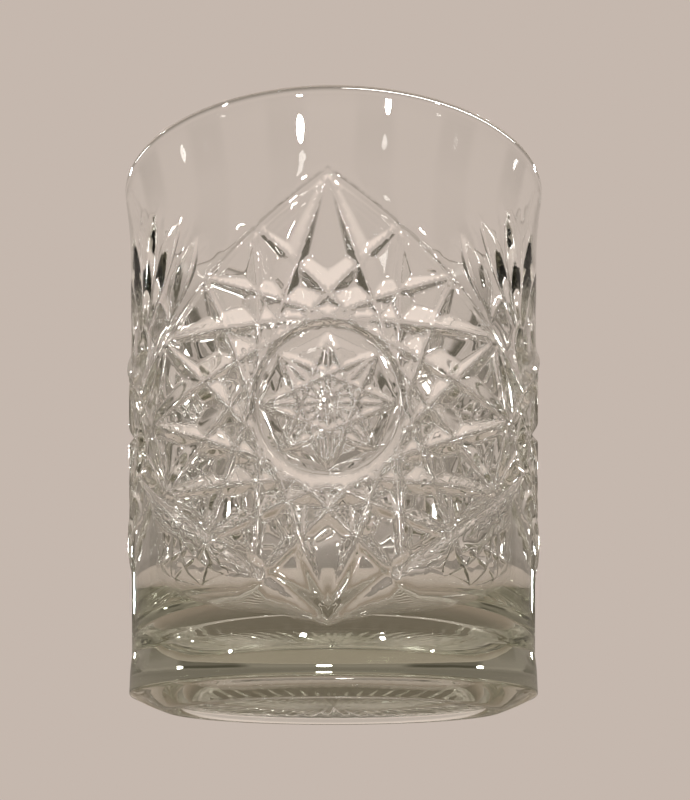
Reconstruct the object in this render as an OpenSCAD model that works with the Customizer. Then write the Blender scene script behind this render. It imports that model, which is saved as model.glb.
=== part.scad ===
// Pressed glass whiskey tumbler, millimetres, +Z up.
// The origin is the centre of the circle that the foot stands on.
// The tumbler is one piece of glass: each node below is one region of it, and
// neighbouring regions meet face to face. Panel 1 faces -Y.

/* [Body] */
// Height from the foot to the lip
height = 104.4; // [102:0.2:108]
// Outer diameter at the lip
rim_d = 85.8; // [84:0.2:88]
// Outer diameter of the side wall where the drinking rim starts to flare
neck_d = 82; // [81:0.2:83]
// Outer diameter of the side wall just above the heavy base
waist_d = 75; // [74:0.2:75.2]
// Outer diameter of the heavy base
base_d = 75.4; // [75.2:0.2:76]
// Diameter of the drink space where the rim starts
bowl_neck_d = 76.4; // [75:0.2:77]
// Diameter of the drink space at its floor
bowl_floor_d = 64; // [60:0.5:65]
// Wall thickness at the lip
lip_wall = 2.4; // [2:0.1:3]

/* [Heights] */
// Thickness of the heavy base, up to the floor of the bowl
floor_z = 8.8; // [8.4:0.2:9.2]
// Height of the lower edge of the upright band round the base
heel_z = 3.2; // [2.6:0.1:4]
// Height of the upper edge of that band
band_z = 9.6; // [9.4:0.1:10]
// Height where the plain drinking rim starts to flare
rim_z = 88.6; // [88.4:0.2:90]
// Height of the centre of each star panel
panel_z = 47.2; // [47:0.1:47.4]

/* [Foot] */
// Outer diameter of the foot ring
foot_d = 64; // [60:0.5:66]
// Width of the foot ring
foot_w = 4; // [3:0.5:6]
// Height of the foot ring, and depth of the hollow inside it
foot_h = 1.2; // [0.8:0.1:2]

/* [Pattern] */
// How far the pattern stands proud of the plain wall
proud = 0.5; // [0.3:0.05:0.6]
// Width of the cuts between the facets
cut_w = 1.3; // [1:0.1:1.8]
// Reach of a star panel above its centre
reach_up = 41; // [40:0.2:41.2]
// Reach of a star panel below its centre
reach_down = 36; // [34:0.2:36.2]
// Reach of a star panel to each side
reach_side = 37; // [36:0.2:37.4]
// Radius of the round boss in the middle of a panel
boss_r = 12.4; // [12:0.1:12.6]

/* [Hidden] */
$fn = 96;

panels = 3;                    // star panels round the glass
rim_r = rim_d / 2;
neck_r = neck_d / 2;
base_r = base_d / 2;
waist_r = waist_d / 2;
bowl_neck_r = bowl_neck_d / 2;
bowl_floor_r = bowl_floor_d / 2;
foot_r = foot_d / 2;
waist_z = band_z + 0.8;        // the shoulder ends and the side wall starts
lip = lip_wall / 2;            // rounding of the lip
bowl_fillet = 18;              // rounding where the bowl's floor meets its wall
arc_steps = 8;                 // facets in a quarter of a drawn arc
panel_pitch = 360 / panels;
star_n = 16;                   // points of a star
star_skip = 6;                 // each cut joins a point to the sixth one on
slope_up = 0.78;               // rise over run of a panel's upper edges
slope_down = 0.69;             // rise over run of a panel's lower edges
pattern_r = 39.6;              // radius at which the pattern is laid out
leaves = 6;                    // leaves in a fan
leaf_fan = 76;                 // degrees from the first leaf to the last
leaf_z = 64.5;                 // height that the leaves spring from

// Outer radius of the side wall at height z, a straight cone below the rim
function wall_r(z) = waist_r + (neck_r - waist_r) * (z - waist_z) / (rim_z - waist_z);
// Radius of the bowl at height z, a straight cone below the rim
function bowl_r(z) = bowl_floor_r
    + (bowl_neck_r - bowl_floor_r) * (z - floor_z) / (rim_z - floor_z);
// Points on an arc about c from angle a to angle b
function arc(c, r, a, b) = [
    for (i = [0 : arc_steps])
        let (t = a + (b - a) * i / arc_steps)
        c + r * [cos(t), sin(t)]
];
// A length round the wall, seen straight on
function seen(u) = pattern_r * sin(u / pattern_r * 180 / PI);
function laid(points) = [for (p = points) [seen(p[0]), p[1]]];
// Points on a quarter of an oval from [r1, z1], level there, out and up to [r2, z2]
function quarter(r1, z1, r2, z2) = [
    for (i = [0 : arc_steps])
        let (t = 90 * i / arc_steps)
        [r1 + (r2 - r1) * sin(t), z2 - (z2 - z1) * cos(t)]
];
// Distance from a panel's centre to its edge, a degrees from straight up
function reach(a) = let (s = abs(sin(a)), c = cos(a))
    min(reach_side / max(s, 0.01),
        c > 0 ? reach_up / (c + slope_up * s) : reach_down / (slope_down * s - c));
function star_point(k) = let (a = 360 * k / star_n) reach(a) * [sin(a), cos(a)];

// The band outside the plain wall that all pattern regions are cut from
module pattern_band() {
    low = waist_z + 0.2;
    high = rim_z;
    rotate_extrude()
        polygon([
            [wall_r(low), low],
            [wall_r(low) + proud, low],
            [wall_r(high) + proud, high],
            [wall_r(high), high]
        ]);
}

// Raises a flat outline, drawn in mm about the panel centre, on the side facing -Y
module raise() {
    intersection() {
        pattern_band();
        translate([0, 0, panel_z])
            rotate([90, 0, 0])
                linear_extrude(height = rim_r + 5)
                    children();
    }
}

// A straight cut from a to b of width w
module cut(a, b, w = cut_w) {
    side = w / 2 * [a[1] - b[1], b[0] - a[0]] / norm(b - a);
    polygon(laid([a + side, b + side, b - side, a - side]));
}

module ring_at(r, w) {
    difference() {
        circle(r);
        circle(r - w);
    }
}

// Glass disc under the bowl, with a rounded heel and most of an upright band
module base() {
    color("lightcyan")
        rotate_extrude()
            polygon(concat(
                [[0, foot_h]],
                quarter(foot_r, foot_h, base_r, heel_z),
                [[base_r, floor_z]],
                [[0, floor_z]]
            ));
}

// Ring that the tumbler stands on
module foot_ring() {
    color("azure")
        difference() {
            cylinder(r = foot_r, h = foot_h);
            translate([0, 0, -1])
                cylinder(r = foot_r - foot_w, h = foot_h + 2);
        }
}

// Side wall from the floor of the bowl up to the plain rim, with a low shoulder on the band
module wall() {
    color("powderblue")
        rotate_extrude()
            polygon(concat(
                [[base_r, floor_z]],
                [[base_r, band_z]],
                [[wall_r(waist_z), waist_z]],
                [[wall_r(rim_z), rim_z]],
                [[bowl_r(rim_z), rim_z]],
                arc([bowl_r(floor_z + bowl_fillet) - bowl_fillet, floor_z + bowl_fillet],
                    bowl_fillet, 0, -90)
            ));
}

// Plain drinking rim, which flares a little, with a rounded lip
module rim_band() {
    color("aliceblue")
        rotate_extrude()
            polygon(concat(
                [[bowl_neck_r, rim_z]],
                [[neck_r, rim_z]],
                [[neck_r + (rim_r - neck_r) * 0.35, (rim_z + height) / 2]],
                arc([rim_r - lip, height - lip], lip, 0, 180),
                [[bowl_neck_r + (rim_r - lip_wall - bowl_neck_r) * 0.35, (rim_z + height) / 2]]
            ));
}

// Facets of one star, left standing between straight cuts
module star_panel() {
    color("lightsteelblue")
        raise()
            difference() {
                polygon(laid([for (k = [0 : star_n - 1]) star_point(k) * 1.03]));
                for (k = [0 : star_n - 1])
                    cut(star_point(k), star_point(k + star_skip));
                circle(boss_r + cut_w / 2);
            }
}

// Round boss with an eight pointed star in its ring
module star_boss() {
    points = 8;
    color("white")
        raise() {
            ring_at(boss_r, 0.9);
            polygon([
                for (i = [0 : 2 * points - 1])
                    let (r = i % 2 == 0 ? boss_r - 0.5 : boss_r * 0.45, a = 180 * i / points)
                    r * [sin(a), cos(a)]
            ]);
        }
}

// One pointed leaf, standing on its lower tip
module leaf(length, width) {
    polygon([[0, 0], [width / 2, length * 0.6], [0, length], [-width / 2, length * 0.6]]);
}

// Leaves that spread upward between two star panels
module fan() {
    color("paleturquoise")
        raise()
            translate([0, leaf_z - panel_z])
                for (i = [0 : leaves - 1])
                    rotate(leaf_fan * (i / (leaves - 1) - 0.5))
                        translate([0, 8])
                            leaf(14, 3);
}

// Lozenges one above the other between two star panels
module side_column() {
    color("lightblue")
        raise() {
            translate([0, 9.5])
                leaf(9, 3);
            translate([0, -6])
                leaf(9, 3);
        }
}

module at_panel(i) {
    rotate(panel_pitch * (i - 1))
        children();
}

module between_panels(i) {
    rotate(panel_pitch * (i - 0.5))
        children();
}

base();
foot_ring();
wall();
rim_band();
for (i = [1 : panels]) {
    at_panel(i) star_panel();
    at_panel(i) star_boss();
    between_panels(i) fan();
    between_panels(i) side_column();
}
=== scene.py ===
"""The looks of a pressed glass whiskey tumbler, in metres, in the CAD frame.

The real tumbler is one piece of glass, so one closed mesh stands for all the CAD
regions: glass regions that touch would show false inner faces. Its pattern is
cut in real geometry on an unrolled wall, u along the wall and v up it, and then
wrapped round the glass.
"""
import math

import bpy
import numpy as np
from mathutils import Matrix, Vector
from mathutils.geometry import delaunay_2d_cdt

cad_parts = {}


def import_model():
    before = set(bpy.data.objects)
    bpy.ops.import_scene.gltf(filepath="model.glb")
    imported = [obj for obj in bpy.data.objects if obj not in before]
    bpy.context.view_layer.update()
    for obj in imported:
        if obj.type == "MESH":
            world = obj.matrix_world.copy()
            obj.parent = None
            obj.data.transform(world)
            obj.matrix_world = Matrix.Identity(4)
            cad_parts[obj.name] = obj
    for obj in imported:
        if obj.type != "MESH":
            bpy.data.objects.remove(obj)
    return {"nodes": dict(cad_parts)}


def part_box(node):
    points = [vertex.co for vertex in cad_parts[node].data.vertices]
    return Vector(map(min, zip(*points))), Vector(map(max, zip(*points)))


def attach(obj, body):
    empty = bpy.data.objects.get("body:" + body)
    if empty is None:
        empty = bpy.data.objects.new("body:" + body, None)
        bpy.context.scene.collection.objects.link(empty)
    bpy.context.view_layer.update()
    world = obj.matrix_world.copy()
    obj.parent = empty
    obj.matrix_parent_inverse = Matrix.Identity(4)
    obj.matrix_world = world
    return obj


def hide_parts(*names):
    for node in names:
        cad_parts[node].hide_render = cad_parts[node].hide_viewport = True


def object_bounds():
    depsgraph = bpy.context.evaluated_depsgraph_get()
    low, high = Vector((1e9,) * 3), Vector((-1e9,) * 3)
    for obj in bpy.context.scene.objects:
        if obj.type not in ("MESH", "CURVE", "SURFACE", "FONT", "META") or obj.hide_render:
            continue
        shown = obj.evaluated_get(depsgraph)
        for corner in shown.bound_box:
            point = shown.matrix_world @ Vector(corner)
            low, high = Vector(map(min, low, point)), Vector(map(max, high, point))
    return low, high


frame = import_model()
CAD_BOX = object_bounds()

# ---------------------------------------------------------------- dimensions
HEIGHT = CAD_BOX[1][2]
RIM_R = max(CAD_BOX[1][0], CAD_BOX[1][1])
RIM_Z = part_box("rim_band")[0][2]
NECK_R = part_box("wall")[1][0]
BASE_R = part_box("base")[1][0]
FLOOR_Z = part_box("base")[1][2]
FOOT_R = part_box("foot_ring")[1][0]
FOOT_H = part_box("foot_ring")[1][2]
FOOT_W = 0.004                # width of the foot ring
HEEL_Z = 0.0032               # lower edge of the upright band round the base
HEEL_EDGE = 0.0006            # rounding between the heel and that band
BAND_TOP = 0.0064             # above this the band rolls in to a shallow notch under the wall
NOTCH_Z = 0.0098
NOTCH_DEPTH = 0.00025
BURST_RAYS = 40               # flutes of the sunburst in the hollow under the base
BURST_DEPTH = 0.00035
KNURL_DEPTH = 0.00012         # fine notches round the heel
WAIST_R = 0.0375              # wall just above the base
WAIST_Z = 0.0104
LIP_WALL = 0.0024             # wall thickness at the lip
BOWL_NECK_R = 0.0382
BOWL_FLOOR_R = 0.032
BOWL_FILLET = 0.018           # the bowl's bottom is well rounded
EARLY_FLARE = 0.4             # share of the rim's flare that is a straight cone

PANELS = 3
SEGMENTS = 240                # round the plain lathe turned parts
PANEL_Z = 0.0486              # height of the stars' centres
LAYOUT_R = 0.041              # radius at which the pattern is laid out
HALF_PANEL = LAYOUT_R * math.pi / PANELS
PATCH_LOW = 0.0106            # the pattern lies between these two heights
PATCH_HIGH = 0.0925
PROUD = 0.0004                # how far a star panel stands out from the wall

STAR_N = 16                   # points of a star
STAR_SKIP = 6                 # each cut joins a point to the sixth one on
# Reach of the star's points from straight up to straight down, the same on both sides
STAR_REACH = (0.0394, 0.0332, 0.0324, 0.0362, 0.0384, 0.0359, 0.0330, 0.0339, 0.0367)
EDGE_TOP = 0.0400             # the panel's upper edges meet here above its centre
EDGE_TOP_SLOPE = 0.76
EDGE_BOTTOM = -0.0376         # and its lower edges meet here
EDGE_BOTTOM_SLOPE = 0.665
EDGE_BEVEL = 0.0009           # the panel slopes down to the wall over this width
RIBBON_W = 0.0012             # a raised ribbon runs inside the panel's upper edges
RIBBON_LOW_W = 0.0020         # and a wider one inside the lower edges
RIBBON_RISE = 0.0003

GROOVE_STEEP = 0.85           # rise over run of a groove's flanks
GROOVE_END_W = 0.00035        # half width of a groove at its end
GROOVE_GROWTH = 0.125         # and how fast it widens from there
GROOVE_MAX_W = 0.0024
LINK_W = 0.0008               # half width of the short cuts that join two side points of a star
SIDE_W = 0.0014               # and of the cuts that join neighbouring stars
ROUND_VALLEY = 0.00015        # rounding at the bottom of a cut
ROUND_RIDGE = 0.00009         # and of the ridges between cuts

BOSS_DROP = 0.0010            # the round boss sits this far below the star's centre
BOSS_CLEAR = 0.003            # inside it the panel's own surface is put this deep, out of its way
BOSS_R = 0.0126
BOSS_FLANK = 0.9              # fall over run of its outer flank
BOSS_TIP = 0.0117             # reach of its star, whose tips are the corners of a sunk field
BOSS_SINK = 0.00075
BOSS_SLOPE = 0.0017           # width of the field's sloping border
BOSS_FADE = 0.0004            # its cuts fade in over this width from the field's edge
BOSS_POINTS = 8
BOSS_STEEP = 0.9              # rise over run of its cuts
BOSS_CUT_W = 0.0009           # half widths of the crossed cuts, of the ribs down the points
BOSS_RAY_W = 0.0007
BOSS_RIB_W = 0.0006           # and of the ribs between them
BOSS_RIB = 0.54               # reach of those last ribs, as a share of BOSS_TIP

FAN_Z = 0.0160                # the leaves spring from here, above the stars' centres
# Each leaf's lean in degrees, length and half width
FAN_LEAVES = ((13.5, 0.0262, 0.0024), (34.5, 0.0260, 0.0022))
KNOT = (0.0323, 0.0174)       # a big and a small leaf spring from here
KNOT_LEAVES = (((0.0246, 0.0322), 0.0026), ((0.0366, 0.0236), 0.0012))   # tip and half width
# Between two stars, each lozenge's heights of root and tip and its half width
LOZENGES = ((0.0100, 0.0215, 0.0026), (0.0035, -0.0088, 0.0025))
LEAF_STEEP = 0.50             # rise over run of the flanks of leaves and lozenges
LEAF_LEAN = 1.25              # above 1, a leaf is widest past its middle

POINT_GAP = 0.00044           # spacing of mesh points in the pattern
BOSS_GAP = 0.00031            # in the fine cuts of the boss
PLAIN_GAP = 0.0022            # and on the plain wall
WELD = 2e-7                   # points this close become one


# ------------------------------------------------------------- pattern cuts
class Cut:
    """A V shaped cut from a to b. It is a groove, or a leaf that is widest past its middle."""

    def __init__(self, a, b, width=GROOVE_MAX_W, steep=GROOVE_STEEP, leaf=False):
        self.a = np.array(a, dtype=float)
        self.b = np.array(b, dtype=float)
        self.length = float(np.linalg.norm(self.b - self.a))
        self.along = (self.b - self.a) / self.length
        self.width = width
        self.steep = steep
        self.leaf = leaf

    def height(self, p):
        """Height of the cut's flanks over points p, against the surface it is cut in."""
        offset = p - self.a
        t = np.clip(offset @ self.along, 0.0, self.length)
        away = np.linalg.norm(offset - t[:, None] * self.along, axis=1)
        if self.leaf:
            half = self.width * np.sin(math.pi * (t / self.length) ** LEAF_LEAN)
        else:
            near_end = np.minimum(t, self.length - t)
            half = np.minimum(GROOVE_END_W + GROOVE_GROWTH * near_end, self.width)
        rounded = np.sqrt(away ** 2 + ROUND_VALLEY ** 2)
        return self.steep * (rounded - half)


def star_point(k):
    """Point k of the star, counted clockwise from straight up."""
    k = k % STAR_N
    reach = STAR_REACH[min(k, STAR_N - k)]
    turn = 2 * math.pi * k / STAR_N
    return (reach * math.sin(turn), reach * math.cos(turn))


def across(point):
    """The same point of the next panel, mirrored in the line between the panels."""
    return (2 * HALF_PANEL - point[0], point[1])


def star_cuts():
    """The star's crossed cuts, and two short ones between its side points."""
    cuts = [Cut(star_point(k), star_point(k + STAR_SKIP)) for k in range(STAR_N)]
    for k in (3, 4):
        cuts.append(Cut(star_point(k), star_point(k + 1), width=LINK_W))
    return cuts


def leaf(a, b, width):
    """A leaf shaped cut from root a to tip b."""
    return Cut(a, b, width=width, steep=LEAF_STEEP, leaf=True)


def side_cuts():
    """Crossed cuts that join the side points of neighbouring stars, with lozenges between."""
    side = star_point(4)
    cuts = []
    for k in (3, 5):
        cuts.append(Cut(side, across(star_point(k)), width=SIDE_W))
        cuts.append(Cut(across(side), star_point(k), width=SIDE_W))
    for root, tip, width in LOZENGES:
        cuts.append(leaf((HALF_PANEL, root), (HALF_PANEL, tip), width))
    return cuts


def fan_cuts():
    """Leaves that spread upward between two stars, and two more from a knot beside them."""
    root = np.array((HALF_PANEL, FAN_Z))
    cuts = []
    for lean, length, width in FAN_LEAVES:
        for side in (-1, 1):
            turn = math.radians(lean) * side
            tip = root + length * np.array((math.sin(turn), math.cos(turn)))
            cuts.append(leaf(root, tip, width))
    for tip, width in KNOT_LEAVES:
        cuts.append(leaf(KNOT, tip, width))
    return cuts


def boss_point(radius, turn):
    """A point of the boss, turned clockwise from straight up."""
    return (radius * math.sin(turn), radius * math.cos(turn) - BOSS_DROP)


def boss_cuts():
    """An eight pointed star of crossed cuts, with a rib down each point and half way between."""
    step = 2 * math.pi / BOSS_POINTS
    centre = boss_point(0, 0)
    cuts = []
    for k in range(BOSS_POINTS):
        turn = k * step
        tip = boss_point(BOSS_TIP, turn)
        third_tip = boss_point(BOSS_TIP, turn + 3 * step)
        between = boss_point(BOSS_RIB * BOSS_TIP, turn + step / 2)
        cuts.append(Cut(tip, third_tip, BOSS_CUT_W, BOSS_STEEP))
        cuts.append(Cut(centre, tip, BOSS_RAY_W, BOSS_STEEP))
        cuts.append(Cut(centre, between, BOSS_RIB_W, BOSS_STEEP))
    return cuts


def boss_border():
    """The straight edges of the boss's sunk field and the lower edges of its slopes."""
    step = 2 * math.pi / BOSS_POINTS
    lines = []
    for reach in (BOSS_TIP, BOSS_TIP - BOSS_SLOPE / math.cos(step / 2)):
        for k in range(BOSS_POINTS):
            lines.append(Cut(boss_point(reach, k * step), boss_point(reach, (k + 1) * step)))
    return lines


PANEL_CUTS = star_cuts() + side_cuts()
FAN_CUTS = fan_cuts()
BOSS_CUTS = boss_cuts()


def soft_min(values, softness):
    """The least value of each row, rounded where two are nearly equal."""
    low = values.min(axis=1)
    total = np.exp(-(values - low[:, None]) / softness).sum(axis=1)
    return low - softness * np.log(total)


def upper_distance(p):
    """How far points lie outside the panel's upper edges; negative inside."""
    return (p[:, 1] - EDGE_TOP + EDGE_TOP_SLOPE * p[:, 0]) / math.hypot(1, EDGE_TOP_SLOPE)


def lower_distance(p):
    """The same for its lower edges."""
    return (EDGE_BOTTOM + EDGE_BOTTOM_SLOPE * p[:, 0] - p[:, 1]) / math.hypot(1, EDGE_BOTTOM_SLOPE)


def edge_distance(p):
    return np.maximum(upper_distance(p), lower_distance(p))


def ribbon(distance, width):
    """Height of a round ribbon that lies just inside an edge."""
    across_it = (distance + width / 2) / (width / 2)
    return RIBBON_RISE * np.clip(1 - across_it ** 2, 0, 1)


def ribbons(p):
    up = upper_distance(p)
    down = lower_distance(p)
    both = np.maximum(ribbon(up, RIBBON_W), ribbon(down, RIBBON_LOW_W))
    return np.where(np.maximum(up, down) < 0, both, 0)


def edge_points(gap):
    """Points along the edges of the panel and of its ribbons."""
    corner = (EDGE_TOP - EDGE_BOTTOM) / (EDGE_TOP_SLOPE + EDGE_BOTTOM_SLOPE)
    u = np.arange(0, corner, gap)
    rows = []
    upper = (EDGE_TOP, -EDGE_TOP_SLOPE, RIBBON_W)
    lower = (EDGE_BOTTOM, EDGE_BOTTOM_SLOPE, RIBBON_LOW_W)
    for edge, slope, width in (upper, lower):
        inward = math.copysign(math.hypot(1, slope), slope)
        for offset in (-EDGE_BEVEL, 0, width / 2, width):
            rows.append(np.stack([u, edge + slope * u + inward * offset], axis=1))
    return np.concatenate(rows)


def cut_heights(p, cuts):
    """Heights over points p of the uncut surface and of every cut, a column for each."""
    return np.stack([np.zeros(len(p))] + [c.height(p) for c in cuts], axis=1)


def boss_radius(p):
    return np.linalg.norm(p + (0, BOSS_DROP), axis=1)


def boss_inside(p):
    """How far points lie inside the boss's sunk field."""
    turns = (np.arange(BOSS_POINTS) + 0.5) * 2 * math.pi / BOSS_POINTS
    away = (p + (0, BOSS_DROP)) @ np.array([np.sin(turns), np.cos(turns)])
    return BOSS_TIP * math.cos(math.pi / BOSS_POINTS) - away.max(axis=1)


def relief(p):
    """How far the glass stands out from the plain wall at points p, for u from 0 to HALF_PANEL."""
    outside = edge_distance(p)
    ramp = np.clip(outside / EDGE_BEVEL, 0, 1)
    level = PROUD * (1 - ramp * ramp * (3 - 2 * ramp))
    body = level + ribbons(p) + soft_min(cut_heights(p, PANEL_CUTS + FAN_CUTS), ROUND_RIDGE)
    radius = boss_radius(p)
    body = np.where(radius < BOSS_R, -BOSS_CLEAR, body)
    inside = boss_inside(p)
    field = -BOSS_SINK * np.clip(inside / BOSS_SLOPE, 0, 1)
    cuts = soft_min(cut_heights(p, BOSS_CUTS), ROUND_RIDGE / 3)
    boss = PROUD + field + cuts * np.clip(inside / BOSS_FADE, 0, 1)
    boss = boss - BOSS_FLANK * np.maximum(radius - BOSS_R, 0)
    both = np.stack([-body, -boss], axis=1)
    return -soft_min(both, ROUND_RIDGE)


# ------------------------------------------------------------- mesh points
class Thin:
    """Keeps points that lie no closer than a gap to those kept before."""

    def __init__(self, cell):
        self.cell = cell
        self.boxes = {}
        self.kept = []

    def add(self, points, gap):
        reach = int(math.ceil(gap / self.cell))
        for x, y in points:
            i = int(x // self.cell)
            j = int(y // self.cell)
            near = (
                q
                for a in range(i - reach, i + reach + 1)
                for b in range(j - reach, j + reach + 1)
                for q in self.boxes.get((a, b), ())
            )
            if any((q[0] - x) ** 2 + (q[1] - y) ** 2 < gap * gap for q in near):
                continue
            self.boxes.setdefault((i, j), []).append((x, y))
            self.kept.append((x, y))


def grid(low, high, gap):
    """A triangular grid of points between two corners."""
    rows = np.arange(low[1], high[1], gap * math.sqrt(3) / 2)
    columns = np.arange(low[0], high[0], gap)
    u, v = np.meshgrid(columns, rows)
    u = u + (np.arange(len(rows)) % 2)[:, None] * gap / 2
    return np.stack([u.ravel(), v.ravel()], axis=1)


def inside_patch(p, margin):
    """The points that lie inside half a panel's patch by a margin."""
    low = PATCH_LOW - PANEL_Z + margin
    high = PATCH_HIGH - PANEL_Z - margin
    beside = (p[:, 0] > margin) & (p[:, 0] < HALF_PANEL - margin)
    return p[beside & (p[:, 1] > low) & (p[:, 1] < high)]


def line_points(cuts, gap):
    """Points along the bottoms of cuts."""
    rows = []
    for c in cuts:
        steps = max(2, int(c.length / gap))
        t = np.linspace(0, c.length, steps)
        rows.append(c.a + t[:, None] * c.along)
    return np.concatenate(rows)


def crossings(cuts):
    """Points where two cuts cross or start."""
    found = [c.a for c in cuts] + [c.b for c in cuts]
    for i, c in enumerate(cuts):
        for d in cuts[i + 1:]:
            turn = c.along[0] * d.along[1] - c.along[1] * d.along[0]
            if abs(turn) < 1e-6:
                continue
            gap = d.a - c.a
            s = (gap[0] * d.along[1] - gap[1] * d.along[0]) / turn
            t = (gap[0] * c.along[1] - gap[1] * c.along[0]) / turn
            if 0 < s < c.length and 0 < t < d.length:
                found.append(c.a + s * c.along)
    return np.array(found)


def ridge_points(seeds, cuts, reach):
    """Moves seeds onto the sharp ridge between the two lowest flanks near them."""
    step = 1e-6

    def gap_of(p, first, second):
        values = cut_heights(p, cuts)
        rows = np.arange(len(p))
        return values[rows, first] - values[rows, second]

    order = np.argsort(cut_heights(seeds, cuts), axis=1)
    first = order[:, 0]
    second = order[:, 1]
    p = seeds.copy()
    for _ in range(3):
        here = gap_of(p, first, second)
        du = (gap_of(p + (step, 0), first, second) - here) / step
        dv = (gap_of(p + (0, step), first, second) - here) / step
        size = du * du + dv * dv + 1e-9
        p = p - np.stack([here * du / size, here * dv / size], axis=1)
    moved = np.linalg.norm(p - seeds, axis=1)
    closed = np.abs(gap_of(p, first, second)) < 5e-6
    return p[(moved < reach) & closed]


def patch_points():
    """Points for half a panel, denser where the glass is cut and along every crease."""
    low = PATCH_LOW - PANEL_Z
    high = PATCH_HIGH - PANEL_Z
    border = np.linspace(0, HALF_PANEL, SEGMENTS // (2 * PANELS) + 1)
    points = Thin(0.0003)
    points.add([(u, low) for u in border] + [(u, high) for u in border], 0)
    cuts = PANEL_CUTS + FAN_CUTS
    side_gap = POINT_GAP * 1.15
    for u in (0.0, HALF_PANEL):
        sides = np.linspace(low, high, int((high - low) / side_gap) + 1)[1:-1]
        line = np.stack([np.full(len(sides), u), sides], axis=1)
        busy = np.abs(relief(line)) > 1e-6
        calm = sides[::4]
        points.add(line[busy], POINT_GAP * 0.8)
        points.add([(u, v) for v in calm], POINT_GAP * 2)
    outer = inside_patch(crossings(cuts), POINT_GAP * 0.6)
    outer = outer[boss_radius(outer) > BOSS_R + 0.0008]
    inner = inside_patch(crossings(BOSS_CUTS), POINT_GAP * 0.6)
    points.add(outer, POINT_GAP * 0.5)
    points.add(inner, BOSS_GAP * 0.6)
    turns = np.linspace(0, math.pi, int(math.pi * BOSS_R / POINT_GAP))
    circle = np.array([boss_point(BOSS_R, turn) for turn in turns])
    points.add(inside_patch(circle, POINT_GAP * 0.5), POINT_GAP * 0.7)
    points.add(inside_patch(line_points(boss_border(), BOSS_GAP), BOSS_GAP * 0.6), BOSS_GAP * 0.8)
    valleys = inside_patch(line_points(cuts, POINT_GAP), POINT_GAP * 0.6)
    valleys = valleys[boss_radius(valleys) > BOSS_R + 0.0012]
    points.add(valleys, POINT_GAP * 0.85)
    points.add(inside_patch(line_points(BOSS_CUTS, BOSS_GAP), BOSS_GAP * 0.6), BOSS_GAP * 0.8)
    field = grid((0, -BOSS_R - BOSS_DROP), (BOSS_R, BOSS_R - BOSS_DROP), BOSS_GAP)
    field = field[boss_inside(field) > 0]
    points.add(inside_patch(field, BOSS_GAP * 0.7), BOSS_GAP * 0.85)
    points.add(inside_patch(edge_points(POINT_GAP), POINT_GAP * 0.6), POINT_GAP * 0.8)
    seeds = inside_patch(grid((0, low), (HALF_PANEL, high), POINT_GAP * 0.6), 0.0002)
    seeds = seeds[np.abs(relief(seeds) - PROUD) + np.abs(relief(seeds)) > PROUD * 1.001]
    ridges = inside_patch(ridge_points(seeds, cuts, POINT_GAP * 0.5), POINT_GAP * 0.6)
    ridges = ridges[boss_radius(ridges) > BOSS_R + 0.0006]
    points.add(ridges, POINT_GAP * 0.9)
    fill = inside_patch(grid((0, low), (HALF_PANEL, high), POINT_GAP), POINT_GAP * 0.7)
    fine = (edge_distance(fill) < EDGE_BEVEL * 1.3) | (relief(fill) < -1e-5)
    points.add(fill[fine], POINT_GAP * 0.95)
    coarse = inside_patch(grid((0, low), (HALF_PANEL, high), PLAIN_GAP), PLAIN_GAP * 0.5)
    points.add(coarse, PLAIN_GAP * 0.6)
    return np.array(points.kept)


def profile(z, low, high, neck_r, rim_r):
    """Radius at height z: a cone from low to high, each (height, radius), then the rim's flare."""
    cone = low[1] + (high[1] - low[1]) * (z - low[0]) / (high[0] - low[0])
    t = np.clip((z - RIM_Z) / (HEIGHT - RIM_Z), 0, 1)
    flare = neck_r + (rim_r - neck_r) * (EARLY_FLARE * t + (1 - EARLY_FLARE) * t * t)
    return np.where(z < RIM_Z, cone, flare)


def wall_r(z):
    return profile(z, (WAIST_Z, WAIST_R), (RIM_Z, NECK_R), NECK_R, RIM_R)


def bowl_r(z):
    return profile(z, (FLOOR_Z, BOWL_FLOOR_R), (RIM_Z, BOWL_NECK_R), BOWL_NECK_R, RIM_R - LIP_WALL)


def wrap(radius, turn, z):
    """A point of the glass, turned from the middle of panel 1, which faces -Y."""
    return np.stack([radius * np.sin(turn), -radius * np.cos(turn), z], axis=-1)


class Shell:
    """Collects vertices and faces, and welds those that meet."""

    def __init__(self):
        self.points = []
        self.faces = []
        self.count = 0

    def add(self, points, faces, flip=False):
        for face in faces:
            row = [int(i) + self.count for i in face]
            self.faces.append(row[::-1] if flip else row)
        self.points.append(points)
        self.count += len(points)

    def mesh(self, name):
        points = np.concatenate(self.points)
        keys = np.round(points / WELD).astype(np.int64)
        _, first, back = np.unique(keys, axis=0, return_index=True, return_inverse=True)
        back = back.ravel()
        faces = []
        for face in self.faces:
            row = []
            for i in face:
                j = int(back[i])
                if j not in row:
                    row.append(j)
            if len(row) > 2:
                faces.append(row)
        mesh = bpy.data.meshes.new(name)
        mesh.from_pydata(points[first].tolist(), [], faces)
        mesh.validate()
        mesh.update()
        return mesh


def add_patches(shell):
    """The patterned wall: half a panel, laid out flat in millimetres, mirrored and turned."""
    p = patch_points()
    low = PATCH_LOW - PANEL_Z
    high = PATCH_HIGH - PANEL_Z
    made = delaunay_2d_cdt([Vector(q) for q in p * 1000], [], [], 0, 1e-7)
    faces = made[2]
    flat = np.array([(q.x, q.y) for q in made[0]]) / 1000
    rise = relief(flat)
    plain = (flat[:, 1] < low + 1e-6) | (flat[:, 1] > high - 1e-6)
    rise[plain] = 0
    z = flat[:, 1] + PANEL_Z
    radius = wall_r(z) + rise
    turn = flat[:, 0] / LAYOUT_R
    for panel in range(PANELS):
        start = 2 * math.pi * panel / PANELS
        for side in (1, -1):
            shell.add(wrap(radius, start + side * turn, z), faces, flip=side < 0)


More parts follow.
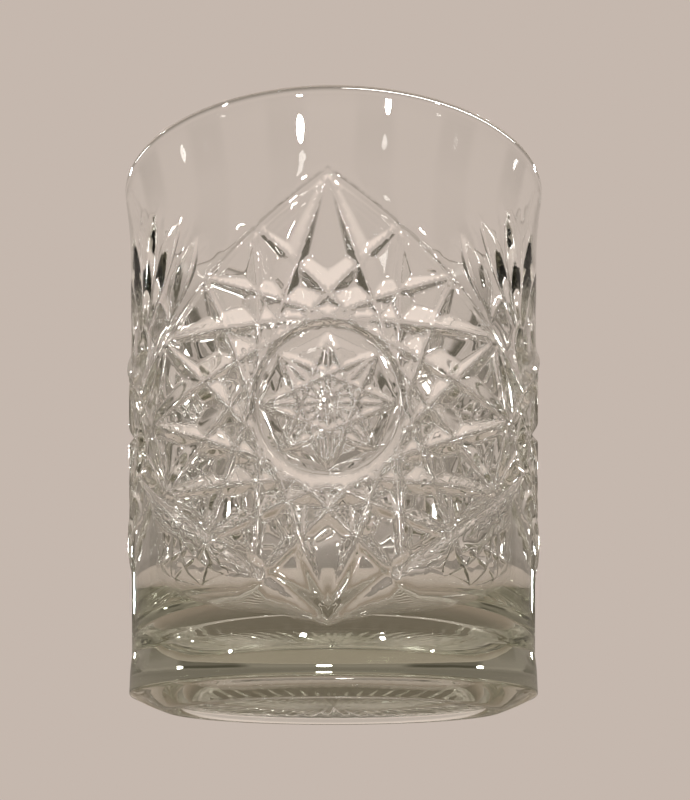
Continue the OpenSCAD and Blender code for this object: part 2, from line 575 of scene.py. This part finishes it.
def arc(centre, radius, start, end, steps):
    turns = np.radians(np.linspace(start, end, steps))
    return [(centre[0] + radius * math.cos(t), centre[1] + radius * math.sin(t)) for t in turns]


def ring(radius, z):
    """Points of one round of the glass, at one radius and height or at one for each point."""
    turn = np.arange(SEGMENTS) * 2 * math.pi / SEGMENTS
    return wrap(np.broadcast_to(radius, turn.shape), turn, np.broadcast_to(z, turn.shape))


def add_rings(shell, rings):
    """Joins rings by faces. A ring of no radius closes the shell at a point."""
    here = np.arange(SEGMENTS)
    there = (here + 1) % SEGMENTS
    faces = []
    for i in range(len(rings) - 1):
        a = i * SEGMENTS
        b = a + SEGMENTS
        faces.extend(np.stack([a + here, a + there, b + there, b + here], axis=1).tolist())
    shell.add(np.concatenate(rings), faces)


def fall(z):
    """How far the upright band has rolled in at height z."""
    share = np.clip((z - BAND_TOP) / (NOTCH_Z - BAND_TOP), 0, 1)
    return NOTCH_DEPTH * share * share


def underside_rings():
    """Hollow with a sunburst of shallow flutes, foot ring, notched heel, band and shoulder."""
    turn = np.arange(SEGMENTS) * 2 * math.pi / SEGMENTS
    flute = np.abs(((turn * BURST_RAYS / (2 * math.pi)) % 1) * 2 - 1)
    notch = np.arange(SEGMENTS) % 2
    hollow_r = FOOT_R - FOOT_W
    rings = [ring(0.0, FOOT_H)]
    for share in (0.06, 0.15, 0.3, 0.45, 0.6, 0.75, 0.88):
        swell = math.sin(math.pi * share) ** 0.5
        rings.append(ring(hollow_r * share, FOOT_H + BURST_DEPTH * swell * flute))
    for r, z in arc((hollow_r - 0.0002, FOOT_H - 0.0006), 0.0006, 90, 20, 4):
        rings.append(ring(r, z))
    rings.append(ring(hollow_r + 0.0009, 0.0001))
    rings.append(ring(hollow_r + 0.0014, 0.0))
    rings.append(ring(FOOT_R - 0.0016, 0.0))
    foot = (FOOT_R - 0.0008, 0.0001)
    edge = (BASE_R - HEEL_EDGE, HEEL_Z)
    for share in (0.0, 0.08, 0.3, 0.55, 0.8, 0.92):
        depth = KNURL_DEPTH * notch * (0.08 < share < 0.9)
        bulge = 0.0003 * math.sin(math.pi * share)
        r = foot[0] + (edge[0] - foot[0]) * share + bulge
        z = foot[1] + (edge[1] - HEEL_EDGE - foot[1]) * share + depth
        rings.append(ring(r, z))
    rings += [ring(r, z) for r, z in arc(edge, HEEL_EDGE, -60, 0, 6)]
    for z in np.linspace(HEEL_Z, NOTCH_Z, 15)[1:]:
        rings.append(ring(BASE_R - fall(z), z))
    for z in np.linspace(NOTCH_Z, PATCH_LOW, 7)[1:]:
        share = (z - NOTCH_Z) / (PATCH_LOW - NOTCH_Z)
        low_r = BASE_R - fall(NOTCH_Z)
        rings.append(ring(low_r + (wall_r(PATCH_LOW) - low_r) * share * share * (3 - 2 * share), z))
    return rings


def bowl_rings():
    """Plain rim, rounded lip, and the bowl down to its floor."""
    lip = LIP_WALL / 2
    lip_z = HEIGHT - lip
    rings = [ring(wall_r(z), z) for z in np.linspace(PATCH_HIGH, lip_z, 9)]
    rings += [ring(r, z) for r, z in arc((wall_r(lip_z) - lip, lip_z), lip, 15, 165, 9)]
    low = FLOOR_Z + BOWL_FILLET
    rings += [ring(bowl_r(z), z) for z in np.linspace(lip_z, low, 30)]
    rings += [ring(r, z) for r, z in arc((bowl_r(low) - BOWL_FILLET, low), BOWL_FILLET, -7, -90, 10)]
    floor_r = bowl_r(low) - BOWL_FILLET
    rings += [ring(floor_r * share, FLOOR_Z) for share in (0.8, 0.6, 0.4, 0.2, 0.08, 0.0)]
    return rings


def tumbler():
    """The whole glass as one closed mesh."""
    shell = Shell()
    add_rings(shell, underside_rings())
    add_patches(shell)
    add_rings(shell, bowl_rings())
    mesh = shell.mesh("tumbler_glass")
    mesh.shade_smooth()
    glass = bpy.data.objects.new("tumbler_glass", mesh)
    bpy.context.scene.collection.objects.link(glass)
    return glass


# --------------------------------------------------------------- materials
def node(tree, kind, **settings):
    """A new node with its settings."""
    made = tree.nodes.new(kind)
    for key, value in settings.items():
        setattr(made, key, value)
    return made


def glass_material():
    """Clear glass, faintly green where it is thick, with the waves of a pressed surface."""
    material = bpy.data.materials.new("clear_glass")
    material.use_nodes = True
    tree = material.node_tree
    tree.nodes.clear()
    link = tree.links.new
    out = node(tree, "ShaderNodeOutputMaterial")
    shader = node(tree, "ShaderNodeBsdfPrincipled")
    shader.inputs["Base Color"].default_value = (1, 1, 1, 1)
    shader.inputs["Transmission Weight"].default_value = 1.0
    shader.inputs["IOR"].default_value = 1.52
    where = node(tree, "ShaderNodeTexCoord")
    waves = node(tree, "ShaderNodeTexNoise")
    waves.inputs["Scale"].default_value = 120
    waves.inputs["Detail"].default_value = 2
    link(where.outputs["Object"], waves.inputs["Vector"])
    bump = node(tree, "ShaderNodeBump")
    bump.inputs["Strength"].default_value = 0.05
    bump.inputs["Distance"].default_value = 0.0005
    link(waves.outputs["Fac"], bump.inputs["Height"])
    link(bump.outputs["Normal"], shader.inputs["Normal"])
    haze = node(tree, "ShaderNodeMapRange")
    haze.inputs["To Min"].default_value = 0.0
    haze.inputs["To Max"].default_value = 0.02
    link(waves.outputs["Fac"], haze.inputs["Value"])
    link(haze.outputs["Result"], shader.inputs["Roughness"])
    clear = node(tree, "ShaderNodeBsdfTransparent")
    clear.inputs["Color"].default_value = (0.93, 0.94, 0.925, 1)
    path = node(tree, "ShaderNodeLightPath")
    mix = node(tree, "ShaderNodeMixShader")
    link(path.outputs["Is Shadow Ray"], mix.inputs["Fac"])
    link(shader.outputs["BSDF"], mix.inputs[1])
    link(clear.outputs["BSDF"], mix.inputs[2])
    link(mix.outputs["Shader"], out.inputs["Surface"])
    tint = node(tree, "ShaderNodeVolumeAbsorption")
    tint.inputs["Color"].default_value = (0.25, 0.30, 0.03, 1)
    tint.inputs["Density"].default_value = 9.0
    link(tint.outputs["Volume"], out.inputs["Volume"])
    return material


# ------------------------------------------------------------------- stage
BACKDROP = (0.56, 0.478, 0.423, 1)
OPEN_FLOOR = (0.43, 0.385, 0.35, 1)
# Painted shadow: the floor's colour under and round the glass's foot, darker than the open floor
PAINTED_SHADOW_UNDER_GLASS = (0.31, 0.255, 0.21, 1)
FLOOR_HALF = 1.0              # half the floor's width
SHADE_REACH = (0.034, 0.075)  # the dark patch under the glass ends between these distances
FADE_REACH = (0.15, 0.9)      # and the floor fades out between these
FLAGS = 8                     # dark upright flags round the room
DARK_TONE = (0.075, 0.066, 0.045, 1)
FLAG_DARK = 0.97              # how much of the dark tone each part of the room takes
CEILING_DARK = 0.85
GROUND_DARK = 0.66
RING_LIGHT = 0.5              # a soft ring of light above the flags
LAMP_COLOUR = (1, 0.97, 0.92)
LAMPS = 12
LAMP_R = 1.3                  # how far the lamps stand from the glass
LOW_LAMP_R = 1.2
LOW_LAMP_Z = 0.22
# Turns of the low lamps in degrees. At others they would streak on the plain wall.
LOW_LAMP_TURNS = (55, 150, 180, 210, 305)


def floor_material():
    """Pale floor with a painted shadow where the glass stands. It fades out far away and from below.
    """
    material = bpy.data.materials.new("pale_floor")
    material.use_nodes = True
    tree = material.node_tree
    tree.nodes.clear()
    link = tree.links.new
    out = node(tree, "ShaderNodeOutputMaterial")
    shader = node(tree, "ShaderNodeBsdfDiffuse")
    # Painted shadow: this mask darkens the floor near the glass, fading out between SHADE_REACH
    shade = node(tree, "ShaderNodeMapRange", interpolation_type="SMOOTHSTEP")
    shade.inputs["From Min"].default_value = SHADE_REACH[0]
    shade.inputs["From Max"].default_value = SHADE_REACH[1]
    tone = node(tree, "ShaderNodeMix", data_type="RGBA")
    # the painted shadow colour near the glass, mixed into the plain floor colour further out
    tone.inputs["A"].default_value = PAINTED_SHADOW_UNDER_GLASS
    tone.inputs["B"].default_value = OPEN_FLOOR
    clear = node(tree, "ShaderNodeBsdfTransparent")
    where = node(tree, "ShaderNodeTexCoord")
    far = node(tree, "ShaderNodeVectorMath", operation="LENGTH")
    link(where.outputs["Object"], far.inputs[0])
    fade = node(tree, "ShaderNodeMapRange", interpolation_type="SMOOTHSTEP")
    fade.inputs["From Min"].default_value = FADE_REACH[0]
    fade.inputs["From Max"].default_value = FADE_REACH[1]
    link(far.outputs["Value"], fade.inputs["Value"])
    link(far.outputs["Value"], shade.inputs["Value"])
    link(shade.outputs["Result"], tone.inputs["Factor"])
    link(tone.outputs["Result"], shader.inputs["Color"])
    side = node(tree, "ShaderNodeNewGeometry")
    gone = node(tree, "ShaderNodeMath", operation="MAXIMUM")
    link(fade.outputs["Result"], gone.inputs[0])
    link(side.outputs["Backfacing"], gone.inputs[1])
    mix = node(tree, "ShaderNodeMixShader")
    link(gone.outputs["Value"], mix.inputs["Fac"])
    link(shader.outputs["BSDF"], mix.inputs[1])
    link(clear.outputs["BSDF"], mix.inputs[2])
    link(mix.outputs["Shader"], out.inputs["Surface"])
    return material


def floor():
    size = FLOOR_HALF
    mesh = bpy.data.meshes.new("floor")
    corners = [(-size, -size, 0), (size, -size, 0), (size, size, 0), (-size, size, 0)]
    mesh.from_pydata(corners, [], [(0, 1, 2, 3)])
    plane = bpy.data.objects.new("floor", mesh)
    bpy.context.scene.collection.objects.link(plane)
    mesh.materials.append(floor_material())


def world():
    """A pale plain room. The glass also bends dark upright flags and a dim ceiling into view.

    Heights in the room are sines of the angle above the horizon.
    """
    made = bpy.data.worlds.new("room")
    bpy.context.scene.world = made
    made.use_nodes = True
    tree = made.node_tree
    tree.nodes.clear()
    link = tree.links.new

    def math_node(operation, a, b=None):
        made_node = node(tree, "ShaderNodeMath", operation=operation)
        for socket, value in zip(made_node.inputs, (a, b)):
            if value is None:
                continue
            if isinstance(value, (int, float)):
                socket.default_value = value
            else:
                link(value, socket)
        return made_node.outputs["Value"]

    def smooth(value, start, end):
        made_node = node(tree, "ShaderNodeMapRange", interpolation_type="SMOOTHSTEP")
        made_node.inputs["From Min"].default_value = start
        made_node.inputs["From Max"].default_value = end
        link(value, made_node.inputs["Value"])
        return made_node.outputs["Result"]

    out = node(tree, "ShaderNodeOutputWorld")
    where = node(tree, "ShaderNodeTexCoord")
    axes = node(tree, "ShaderNodeSeparateXYZ")
    link(where.outputs["Generated"], axes.inputs["Vector"])
    turn = math_node("ARCTAN2", axes.outputs["X"], axes.outputs["Y"])
    stripe = math_node("COSINE", math_node("MULTIPLY", turn, FLAGS))
    height = axes.outputs["Z"]
    high = smooth(height, 0.30, 0.44)
    low = smooth(height, 0.06, 0.18)
    reach = math_node("MULTIPLY", low, math_node("SUBTRACT", 1.0, high))
    flags = math_node("MULTIPLY", smooth(stripe, 0.35, -0.60), reach)
    ceiling = smooth(height, 0.80, 0.95)
    ground = smooth(height, 0.42, 0.0)
    dark = math_node("MULTIPLY", flags, FLAG_DARK)
    dark = math_node("MAXIMUM", dark, math_node("MULTIPLY", ceiling, CEILING_DARK))
    dark = math_node("MAXIMUM", dark, math_node("MULTIPLY", ground, GROUND_DARK))
    glow = math_node("MULTIPLY", smooth(height, 0.50, 0.68), smooth(height, 0.86, 0.70))
    path = node(tree, "ShaderNodeLightPath")
    bent = math_node("SUBTRACT", 1.0, path.outputs["Is Camera Ray"])
    tone = node(tree, "ShaderNodeMix", data_type="RGBA")
    tone.inputs["A"].default_value = BACKDROP
    tone.inputs["B"].default_value = DARK_TONE
    link(math_node("MULTIPLY", dark, bent), tone.inputs["Factor"])
    extra = math_node("MULTIPLY", math_node("MULTIPLY", glow, RING_LIGHT), bent)
    back = node(tree, "ShaderNodeBackground")
    link(tone.outputs["Result"], back.inputs["Color"])
    link(math_node("ADD", extra, 1.0), back.inputs["Strength"])
    link(back.outputs["Background"], out.inputs["Surface"])


def lamp(name, place, size, power):
    """A round lamp that is aimed at the glass and isn't seen by the camera itself."""
    data = bpy.data.lights.new(name, "AREA")
    data.shape = "DISK"
    data.size = size
    data.energy = power
    data.color = LAMP_COLOUR
    made = bpy.data.objects.new(name, data)
    made.location = place
    made.visible_camera = False
    aim = Vector((0, 0, HEIGHT / 2)) - Vector(place)
    made.rotation_euler = aim.to_track_quat("-Z", "Y").to_euler()
    bpy.context.scene.collection.objects.link(made)


def lights():
    """Small lamps round the room, for sparkle, and one on the viewer's side."""
    lamp("room_lamp", (-0.39, -1.45, 0.60), 0.10, 6)
    for i in range(LAMPS):
        turn = 2 * math.pi * (i + 1) / (LAMPS + 1)
        place = (LAMP_R * math.sin(turn), -LAMP_R * math.cos(turn), 0.45 + 0.35 * (i % 3))
        lamp("lamp_%d" % (i + 1), place, 0.07, 2.2)
    for i, degrees in enumerate(LOW_LAMP_TURNS):
        turn = math.radians(degrees)
        place = (LOW_LAMP_R * math.sin(turn), -LOW_LAMP_R * math.cos(turn), LOW_LAMP_Z)
        lamp("low_lamp_%d" % (i + 1), place, 0.05, 1.2)


# ------------------------------------------------------------------ camera
CAMERA_DISTANCE = 0.2205
CAMERA_Z = -0.0178                 # the viewer looks up past the foot
CAMERA_TURN = math.radians(1.36)   # and stands a little to the right of panel 1
CAMERA_PITCH = math.radians(14)


def camera():
    data = bpy.data.cameras.new("camera")
    data.sensor_width = 36
    data.lens = 52.66
    data.shift_x = 0.0143
    data.shift_y = 0.1496
    data.clip_start = 0.01
    made = bpy.data.objects.new("camera", data)
    x = CAMERA_DISTANCE * math.sin(CAMERA_TURN)
    y = -CAMERA_DISTANCE * math.cos(CAMERA_TURN)
    made.location = (x, y, CAMERA_Z)
    made.rotation_euler = (math.pi / 2 + CAMERA_PITCH, 0, CAMERA_TURN)
    bpy.context.scene.collection.objects.link(made)
    bpy.context.scene.camera = made


def look():
    """Plain colours, and enough bounces for light to leave the cut glass."""
    scene = bpy.context.scene
    scene.view_settings.view_transform = "Standard"
    scene.cycles.max_bounces = 24
    scene.cycles.transmission_bounces = 24
    scene.cycles.glossy_bounces = 12
    scene.cycles.transparent_max_bounces = 16
    scene.cycles.caustics_reflective = False
    scene.cycles.caustics_refractive = False
    scene.cycles.sample_clamp_indirect = 8


glass = tumbler()
glass.data.materials.append(glass_material())
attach(glass, "root")
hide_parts(*frame["nodes"])
floor()
world()
lights()
camera()
look()
